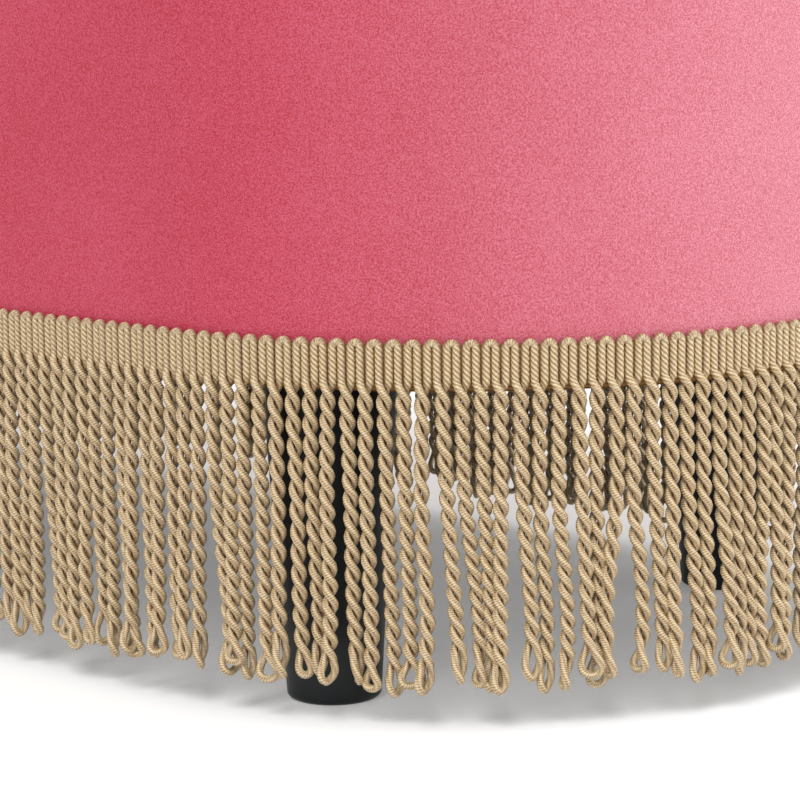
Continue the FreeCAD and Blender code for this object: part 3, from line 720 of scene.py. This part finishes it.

    # how far each spot faces away from the middle of its cord, for the painted shade in the crease
    # between its strands
    middle = add(tree, NAMED, {"Name": "middle"}, data_type="FLOAT_VECTOR")
    away = add(tree, VECTOR, add(tree, "GeometryNodeInputPosition"), middle, operation="SUBTRACT")
    away = add(tree, VECTOR, away, operation="NORMALIZE")
    facing = add(tree, VECTOR, away, add(tree, "GeometryNodeInputNormal"), operation="DOT_PRODUCT")
    shut = add(tree, NAMED, {"Name": "shut"}, data_type="FLOAT")
    shut = add(tree, MATH, shut, SHUT_POWER, operation="POWER")
    facing = add(tree, MIX, {"Factor": shut, "A": 1.0, "B": facing.outputs["Value"]},
                 data_type="FLOAT")
    tube = add(tree, STORE, tube, {"Name": "opening", "Value": facing},
               data_type="FLOAT", domain="POINT")
    return tree_ended(tree, given, tube)


aside, out = hang()
seeds = {
    "drop": CORD_DROP + np.clip(random.normal(0, DROP_SPREAD, cord_total), -DROP_LIMIT, DROP_LIMIT),
    "lay": LAY * random.uniform(*LAY_SHARES, cord_total),
    "loop_width": random.uniform(*LOOP_WIDTH_ROOTS, cord_total) ** 2 * MM,
    "loop_length": random.uniform(*LOOP_LENGTHS_MM, cord_total) * MM,
}
sway_size = random.normal(0, SWAY_SPREAD, cord_total)
twisted_fringe = fringe_tree()
first = 0
for side_name, count in CORD_COUNTS.items():
    spots, vectors = [], {"outward": [], "lean": [], "sway": []}
    for number in range(first, first + count):
        x, out_x, out_y = cord_place((number + 0.5) * cord_pitch)
        outward = Vector((out_x, out_y, 0))
        tangent = Vector((-out_y, out_x, 0))
        spots.append(Vector((x, 0, 0)) + outward * HEADER_PATH_RADIUS)
        vectors["outward"].append(outward)
        vectors["lean"].append(tangent * aside[number] + outward * out[number])
        vectors["sway"].append(tangent * sway_size[number])
    seed = bpy.data.meshes.new("fringe_seed_" + side_name)
    seed.from_pydata(spots, [], [])
    for name, values in vectors.items():
        flat = np.array(values, dtype=np.float32).ravel()
        seed.attributes.new(name, "FLOAT_VECTOR", "POINT").data.foreach_set("vector", flat)
    for name, values in seeds.items():
        chosen = values[first:first + count].astype(np.float32)
        seed.attributes.new(name, "FLOAT", "POINT").data.foreach_set("value", chosen)
    piece = grown("fringe_" + side_name, seed, twisted_fringe, {
        "Cord pitch": cord_pitch, "Header top": HEADER_TOP, "Header bottom": VELVET_BOTTOM,
        "Strand radius": STRAND_RADIUS, "Rib radius": RIB_RADIUS, "Steps": STRAND_STEPS,
        "Sides": STRAND_SIDES, "Material": cord_gold,
    })
    for spare in (*CORD_ATTRIBUTES, "place", "thick", "middle", "shut"):
        layer = piece.data.attributes.get(spare)
        if layer:
            piece.data.attributes.remove(layer)
    settle(piece, "box", "gold_fringe", "fringe_cords_" + side_name)
    first += count

# tape behind the ribs, low enough that no velvet shows under it
TAPE_OUTER = 202.0 * MM
TAPE_INNER = 200.05 * MM
tape_profile = [
    (TAPE_INNER, VELVET_BOTTOM - 0.5 * MM), (TAPE_OUTER, VELVET_BOTTOM - 0.2 * MM),
    (TAPE_OUTER, HEADER_TOP - 4 * MM), (TAPE_INNER, HEADER_TOP - 3 * MM),
]
tape = smooth(sweep("fringe_tape", tape_profile, closed=True), tape_gold)
settle(tape, "box", "gold_fringe", "fringe_header")

settle(side_cover, "box", "pink_velvet", "side_cover", "side_wrap")

# Lining of the well, its floor panel, the dust cover and the lid's lining

LINING_ROWS = 16
LINING_ROLL = 0.8 * MM
LINING_BACK = RIM_INNER_RADIUS - 0.2 * MM
LINING_LOOSE = 0.25 * MM
LINING_SEAM = 0.5 * MM
PLATE_EDGE = 0.3 * MM
PLATE_ROWS = 8
DUST_SAG = 1.6 * MM


def lining_waves(x, out_x, out_y, height):
    """Slight looseness of cloth over board, drawn in at the seams between sides and ends."""
    # two waves that don't fall in step
    loose = math.sin(x * 37 + height * 21 + out_x * 5) * math.sin(height * 33 + out_y * 4)
    seam = 0.0 if out_x else max(0.0, 1 - abs(abs(x) - HALF_STRAIGHT) / SEAM_REACH)
    return LINING_LOOSE * loose + LINING_SEAM * seam


def plate(name, radius, low, high, sag, material):
    """Thin flat racetrack of cloth or covered board, sagging between its edge and its middle."""
    edge = min(PLATE_EDGE, (high - low) / 3)
    shares = [i / PLATE_ROWS for i in range(PLATE_ROWS)]
    dips = [sag * math.sin(math.pi * s) ** 2 for s in shares]
    profile = [(radius * s, low - dip) for s, dip in zip(shares, dips)]
    profile += [(radius - edge, low), (radius, low + edge)]
    profile += [(radius, high - edge), (radius - edge, high)]
    profile += [(radius * s, high - dip) for s, dip in zip(shares[::-1], dips[::-1])]
    return smooth(sweep(name, profile), material)


lining_rise = LINING_TOP - LINING_ROLL - LINING_BOTTOM
lining_profile = [(LINING_RADIUS, LINING_BOTTOM + lining_rise * i / LINING_ROWS)
                  for i in range(LINING_ROWS + 1)]
lining_profile += [(LINING_RADIUS + LINING_ROLL, LINING_TOP), (LINING_BACK, LINING_TOP)]
lining_profile += [(LINING_BACK, LINING_BOTTOM)]
well_lining = sweep("well_lining", lining_profile, 120, 60, closed=True, wobble=lining_waves)
smooth(well_lining, lining_black)
settle(well_lining, "box", "lining_cloth",
       "lining_front", "lining_back", "lining_left_end", "lining_right_end")

for name, radius, low, high, sag, material, body, slot, solid, board in (
    ("well_floor", FLOOR_PANEL_RADIUS, LINING_BOTTOM, FLOOR_PANEL_TOP, 0.0, lining_black,
     "box", "lining_cloth", "floor_panel", "bottom_board"),
    ("dust_cloth", DUST_RADIUS, DUST_BOTTOM, DUST_BOTTOM + CLOTH, DUST_SAG, dust_black,
     "box", "dust_cloth", "dust_cover", "bottom_board"),
    ("lid_underside_cloth", LID_LINING_RADIUS, LID_LINING_BOTTOM, LID_LINING_BOTTOM + CLOTH, 0.0,
     lining_black, "lid", "lining_cloth", "lid_lining", "lid_board"),
):
    cloth = plate(name, radius, low, high, sag, material)
    settle(cloth, body, slot, solid)

# Staples that hold the dust cover and the lid's lining, in a row inside the edge of each

STAPLE_CROWN = 10 * MM
STAPLE_WIRE = 0.6 * MM
STAPLE_LEG = 0.7 * MM
STAPLE_SPACING = 26 * MM


def staple_tree():
    """Sets a staple at even spaces along a closed path, in line with it."""
    tree, given = tree_named("staple_row", {
        "Spacing": "Float", "Staple": "Object", "Material": "Material"})
    path = add(tree, "GeometryNodeMeshToCurve", given["Geometry"])
    path = add(tree, "GeometryNodeResampleCurve", {"Curve": path, "Length": given["Spacing"]},
               mode="LENGTH")
    along = add(tree, "FunctionNodeAlignRotationToVector",
                {"Vector": add(tree, "GeometryNodeInputTangent")}, axis="X", pivot_axis="Z")
    staple = add(tree, "GeometryNodeObjectInfo", {"Object": given["Staple"]})
    row = add(tree, "GeometryNodeInstanceOnPoints", {
        "Points": path, "Instance": staple.outputs["Geometry"], "Rotation": along})
    return tree_ended(tree, given, row)


def loop_mesh(name, points):
    """Closed line of edges through points."""
    mesh = bpy.data.meshes.new(name)
    count = len(points)
    mesh.from_pydata(points, [(i, (i + 1) % count) for i in range(count)], [])
    return mesh


half_crown = STAPLE_CROWN / 2
staple_line = [(-half_crown, STAPLE_LEG), (-half_crown + STAPLE_WIRE, 0.0),
               (half_crown - STAPLE_WIRE, 0.0), (half_crown, STAPLE_LEG)]
staple_points, staple_faces = [], []
for x, z in staple_line:
    for dy, dz in ((-1, -1), (1, -1), (1, 1), (-1, 1)):
        staple_points.append((x, dy * STAPLE_WIRE / 2, z + dz * STAPLE_WIRE / 3))
for start in range(0, 12, 4):
    for i in range(4):
        j = (i + 1) % 4
        staple_faces.append((start + i, start + j, start + 4 + j, start + 4 + i))
staple_faces += [(3, 2, 1, 0), (12, 13, 14, 15)]
staple_mesh = bpy.data.meshes.new("staple")
staple_mesh.from_pydata(staple_points, [], staple_faces)
staple = bpy.data.objects.new("staple", staple_mesh)
staple_row = staple_tree()
for name, body, radius, height in (
    ("dust_cloth_staples", "box", DUST_RADIUS - 8 * MM, DUST_BOTTOM - 0.15 * MM),
    ("lid_cloth_staples", "lid", LID_LINING_RADIUS - 7 * MM, LID_LINING_BOTTOM - 0.05 * MM),
):
    piece = grown(name, loop_mesh(name, path_points(radius, height)), staple_row,
                  {"Spacing": STAPLE_SPACING, "Staple": staple, "Material": staple_zinc})
    piece.data.shade_flat()
    settle(piece, body, "leg_fitting_steel")
bpy.data.objects.remove(staple)

# Lid: a foam pad in velvet on its board, swollen as cloth and drawn in along a piped seam

LID_VOXEL = 6.2 * MM
LID_SLACK = 1.5 * MM
CROWN_SLACK = 13 * MM
CROWN_ROWS = 12
SWELL_LIMIT = 14 * MM
SWELL_FRAMES = 20
SWELL_PRESSURE = 4
SEAM_RADIUS = VELVET_RADIUS - LID_SHOULDER * (1 - math.sqrt(0.5))
SEAM_HEIGHT = LID_SIDE_TOP + LID_SHOULDER * math.sqrt(0.5)
SEAM_SEARCH = 6 * MM
SEAM_PULL = 2.2 * MM
PULL_REACH = 11 * MM
UNDERSIDE = 3 * MM
UNDER_RECESS = 1.1 * MM
RECESS_MARGIN = 5 * MM
PIPING_RADIUS = 2.3 * MM
PIPING_PROUD = 0.55
PIPING_SIDES = 10


def lid_outline():
    """Half section of the slack pad, from the middle of its underside to the middle of its top."""
    reach = VELVET_RADIUS - LID_SLACK
    points = [(0.0, LID_BOTTOM), (reach / 2, LID_BOTTOM)]
    points += arc((reach - EDGE_ROLL, LID_BOTTOM + EDGE_ROLL), EDGE_ROLL, -90, 0, 6)
    points += arc((reach - LID_SHOULDER, LID_SIDE_TOP), LID_SHOULDER, 0, 90, 10)
    top = reach - LID_SHOULDER
    rise = LID_CROWN_TOP - CROWN_SLACK - LID_SIDE_TOP - LID_SHOULDER
    for step in range(1, CROWN_ROWS + 1):
        share = 1 - step / CROWN_ROWS
        points.append((top * share, LID_SIDE_TOP + LID_SHOULDER + rise * (1 - share ** 2)))
    return points


def plan_radius(point):
    """Distance of a point from the bench's middle line."""
    return math.hypot(max(abs(point.x) - HALF_STRAIGHT, 0.0), point.y)


def swell(obj):
    """Blows the pad up as cloth under pressure, with what lies on the board held."""
    held = obj.vertex_groups.new(name="board")
    held.add([v.index for v in obj.data.vertices if v.co.z < LID_BOARD_TOP], 1.0, "REPLACE")
    start = [v.co.copy() for v in obj.data.vertices]
    cloth = obj.modifiers.new("cloth", "CLOTH")
    cloth.settings.quality = 4
    cloth.settings.vertex_group_mass = "board"
    cloth.settings.use_pressure = True
    cloth.settings.uniform_pressure_force = SWELL_PRESSURE
    cloth.settings.effector_weights.gravity = 0
    cloth.collision_settings.use_collision = False
    for number in range(1, SWELL_FRAMES + 1):
        bpy.context.scene.frame_set(number)
    applied(obj)
    bpy.context.scene.frame_set(1)
    for vertex, before in zip(obj.data.vertices, start):
        move = vertex.co - before
        if move.length > SWELL_LIMIT:
            vertex.co = before + move * (SWELL_LIMIT / move.length)


lid_pad = sweep("lid_cushion", lid_outline(), 60, 60)
even = lid_pad.modifiers.new("even", "REMESH")
even.mode = "VOXEL"
even.voxel_size = LID_VOXEL
ease_out = lid_pad.modifiers.new("ease", "SMOOTH")
ease_out.iterations = 4
applied(lid_pad)
swell(lid_pad)
finer = lid_pad.modifiers.new("finer", "SUBSURF")
finer.levels = finer.render_levels = 1
applied(lid_pad)

# the seam lies on the swollen pad, where it is nearest to a line just outside the shoulder
surface = BVHTree.FromObject(lid_pad, bpy.context.evaluated_depsgraph_get())
seam_points, seam_outs = [], []
for spot in path_points(SEAM_RADIUS + SEAM_SEARCH, SEAM_HEIGHT + SEAM_SEARCH, 75, 60):
    found, normal, _, _ = surface.find_nearest(Vector(spot))
    seam_points.append(found)
    seam_outs.append(normal)
near_seam = KDTree(len(seam_points))
for number, spot in enumerate(seam_points):
    near_seam.insert(spot, number)
near_seam.balance()
# the pad is drawn in along the seam, and flat underneath with a recess for the lid's lining
shell = lid_pad.data
moves = []
for vertex in shell.vertices:
    _, _, gap = near_seam.find(vertex.co)
    pull = SEAM_PULL * max(0.0, 1 - gap / PULL_REACH) ** 2
    moves.append(vertex.co - vertex.normal * pull)
    reach = plan_radius(vertex.co)
    if vertex.co.z < LID_BOTTOM + UNDERSIDE and reach < VELVET_RADIUS - EDGE_ROLL:
        inside = reach < LID_LINING_RADIUS + RECESS_MARGIN
        moves[-1].z = LID_BOTTOM + (UNDER_RECESS if inside else 0.0)
for vertex, spot in zip(shell.vertices, moves):
    vertex.co = spot
shell.update()
smooth(lid_pad, velvet)
settle(lid_pad, "lid", "pink_velvet", "lid_cover", "lid_foam")


def piping_tree():
    """Round piping along a closed path."""
    tree, given = tree_named("piping", {"Radius": "Float", "Sides": "Int", "Material": "Material"})
    path = add(tree, "GeometryNodeMeshToCurve", given["Geometry"])
    ring = add(tree, "GeometryNodeCurvePrimitiveCircle", {
        "Resolution": given["Sides"], "Radius": given["Radius"]})
    tube = add(tree, "GeometryNodeCurveToMesh", {"Curve": path, "Profile Curve": ring})
    return tree_ended(tree, given, tube)


piping_line = [spot - out_way * (SEAM_PULL - PIPING_RADIUS * PIPING_PROUD)
               for spot, out_way in zip(seam_points, seam_outs)]
piping = grown("lid_piping", loop_mesh("lid_piping", piping_line), piping_tree(),
               {"Radius": PIPING_RADIUS, "Sides": PIPING_SIDES, "Material": velvet})
settle(piping, "lid", "pink_velvet")

# Stage: white floor, soft lamps from the right and behind, daylight from the front, the camera

FLOOR_HALF = 30
FLOOR_GLOW = 0.21
WORLD_LIGHT = 0.58
LAMP_SIZE = 1.4
LIT_POINT = Vector((0.35, 0, 0.25))
CAMERA_PLACE = Vector((1210.8, -1069.4, 330.9)) * MM
LEVEL_AHEAD = Vector((-0.6682, 0.7440, 0)).normalized()
CAMERA_DIP = 0.154
CAMERA_ROLL = -0.0128
CAMERA_LENS = 129.05
CAMERA_SENSOR = 36


def seen_rays(tree):
    """1 where the eye sees a surface, straight, mirrored or through glass, and 0 elsewhere."""
    path = add(tree, "ShaderNodeLightPath").outputs
    seen = add(tree, MATH, path["Is Camera Ray"], path["Is Glossy Ray"], operation="MAXIMUM")
    return add(tree, MATH, seen, path["Is Transmission Ray"], operation="MAXIMUM")


def softbox(name, place, power):
    """Square lamp that faces the bench's near end."""
    lamp = bpy.data.lights.new(name, "AREA")
    lamp.size = LAMP_SIZE
    lamp.energy = power
    obj = in_scene(name, lamp)
    obj.location = place
    obj.rotation_euler = (LIT_POINT - Vector(place)).to_track_quat("-Z", "Y").to_euler()


def daylight(name, along, strength, spread):
    """Broad, even light that falls along a direction."""
    lamp = bpy.data.lights.new(name, "SUN")
    lamp.energy = strength
    lamp.angle = math.radians(spread)
    in_scene(name, lamp).rotation_euler = Vector(along).to_track_quat("-Z", "Y").to_euler()


floor_mesh = bpy.data.meshes.new("floor")
floor_mesh.from_pydata([(x * FLOOR_HALF, y * FLOOR_HALF, 0)
                        for x, y in ((-1, -1), (1, -1), (1, 1), (-1, 1))], [], [(0, 1, 2, 3)])
in_scene("floor", floor_mesh)
floor_white, tree, _ = finish_named("white_paper_floor", {
    "Base Color": linear("#EFEFEF"), "Roughness": 0.9, "Specular IOR Level": 0.1,
    "Emission Color": (1, 1, 1, 1),
})
glow = add(tree, MATH, seen_rays(tree), FLOOR_GLOW, operation="MULTIPLY")
floor_mesh.materials.append(dress(floor_white, glow=glow))

world = bpy.data.worlds.new("studio")
bpy.context.scene.world = world
world.use_nodes = True
tree = world.node_tree
strength = add(tree, RANGE, seen_rays(tree), 0.0, 1.0, WORLD_LIGHT, 1.0)
background = tree.nodes["Background"]
background.inputs["Color"].default_value = (1, 1, 1, 1)
tree.links.new(strength.outputs[0], background.inputs["Strength"])

softbox("key", (2.0, 1.3, 0.75), 17)
softbox("side", (2.7, -0.4, 0.9), 5)
daylight("top", (-0.3, 0.75, -1), 1.95, 30)

ahead = LEVEL_AHEAD * math.cos(CAMERA_DIP) + Vector((0, 0, -math.sin(CAMERA_DIP)))
level = ahead.cross(Vector((0, 0, 1))).normalized()
upright = level.cross(ahead)
right = level * math.cos(CAMERA_ROLL) + upright * math.sin(CAMERA_ROLL)
up = upright * math.cos(CAMERA_ROLL) - level * math.sin(CAMERA_ROLL)
lens = bpy.data.cameras.new("camera")
lens.sensor_width = CAMERA_SENSOR
lens.lens = CAMERA_LENS
camera = in_scene("camera", lens)
turned = Matrix((right, up, -ahead)).transposed().to_4x4()
camera.matrix_world = Matrix.Translation(CAMERA_PLACE) @ turned
bpy.context.scene.camera = camera
bpy.context.scene.view_settings.view_transform = "Standard"
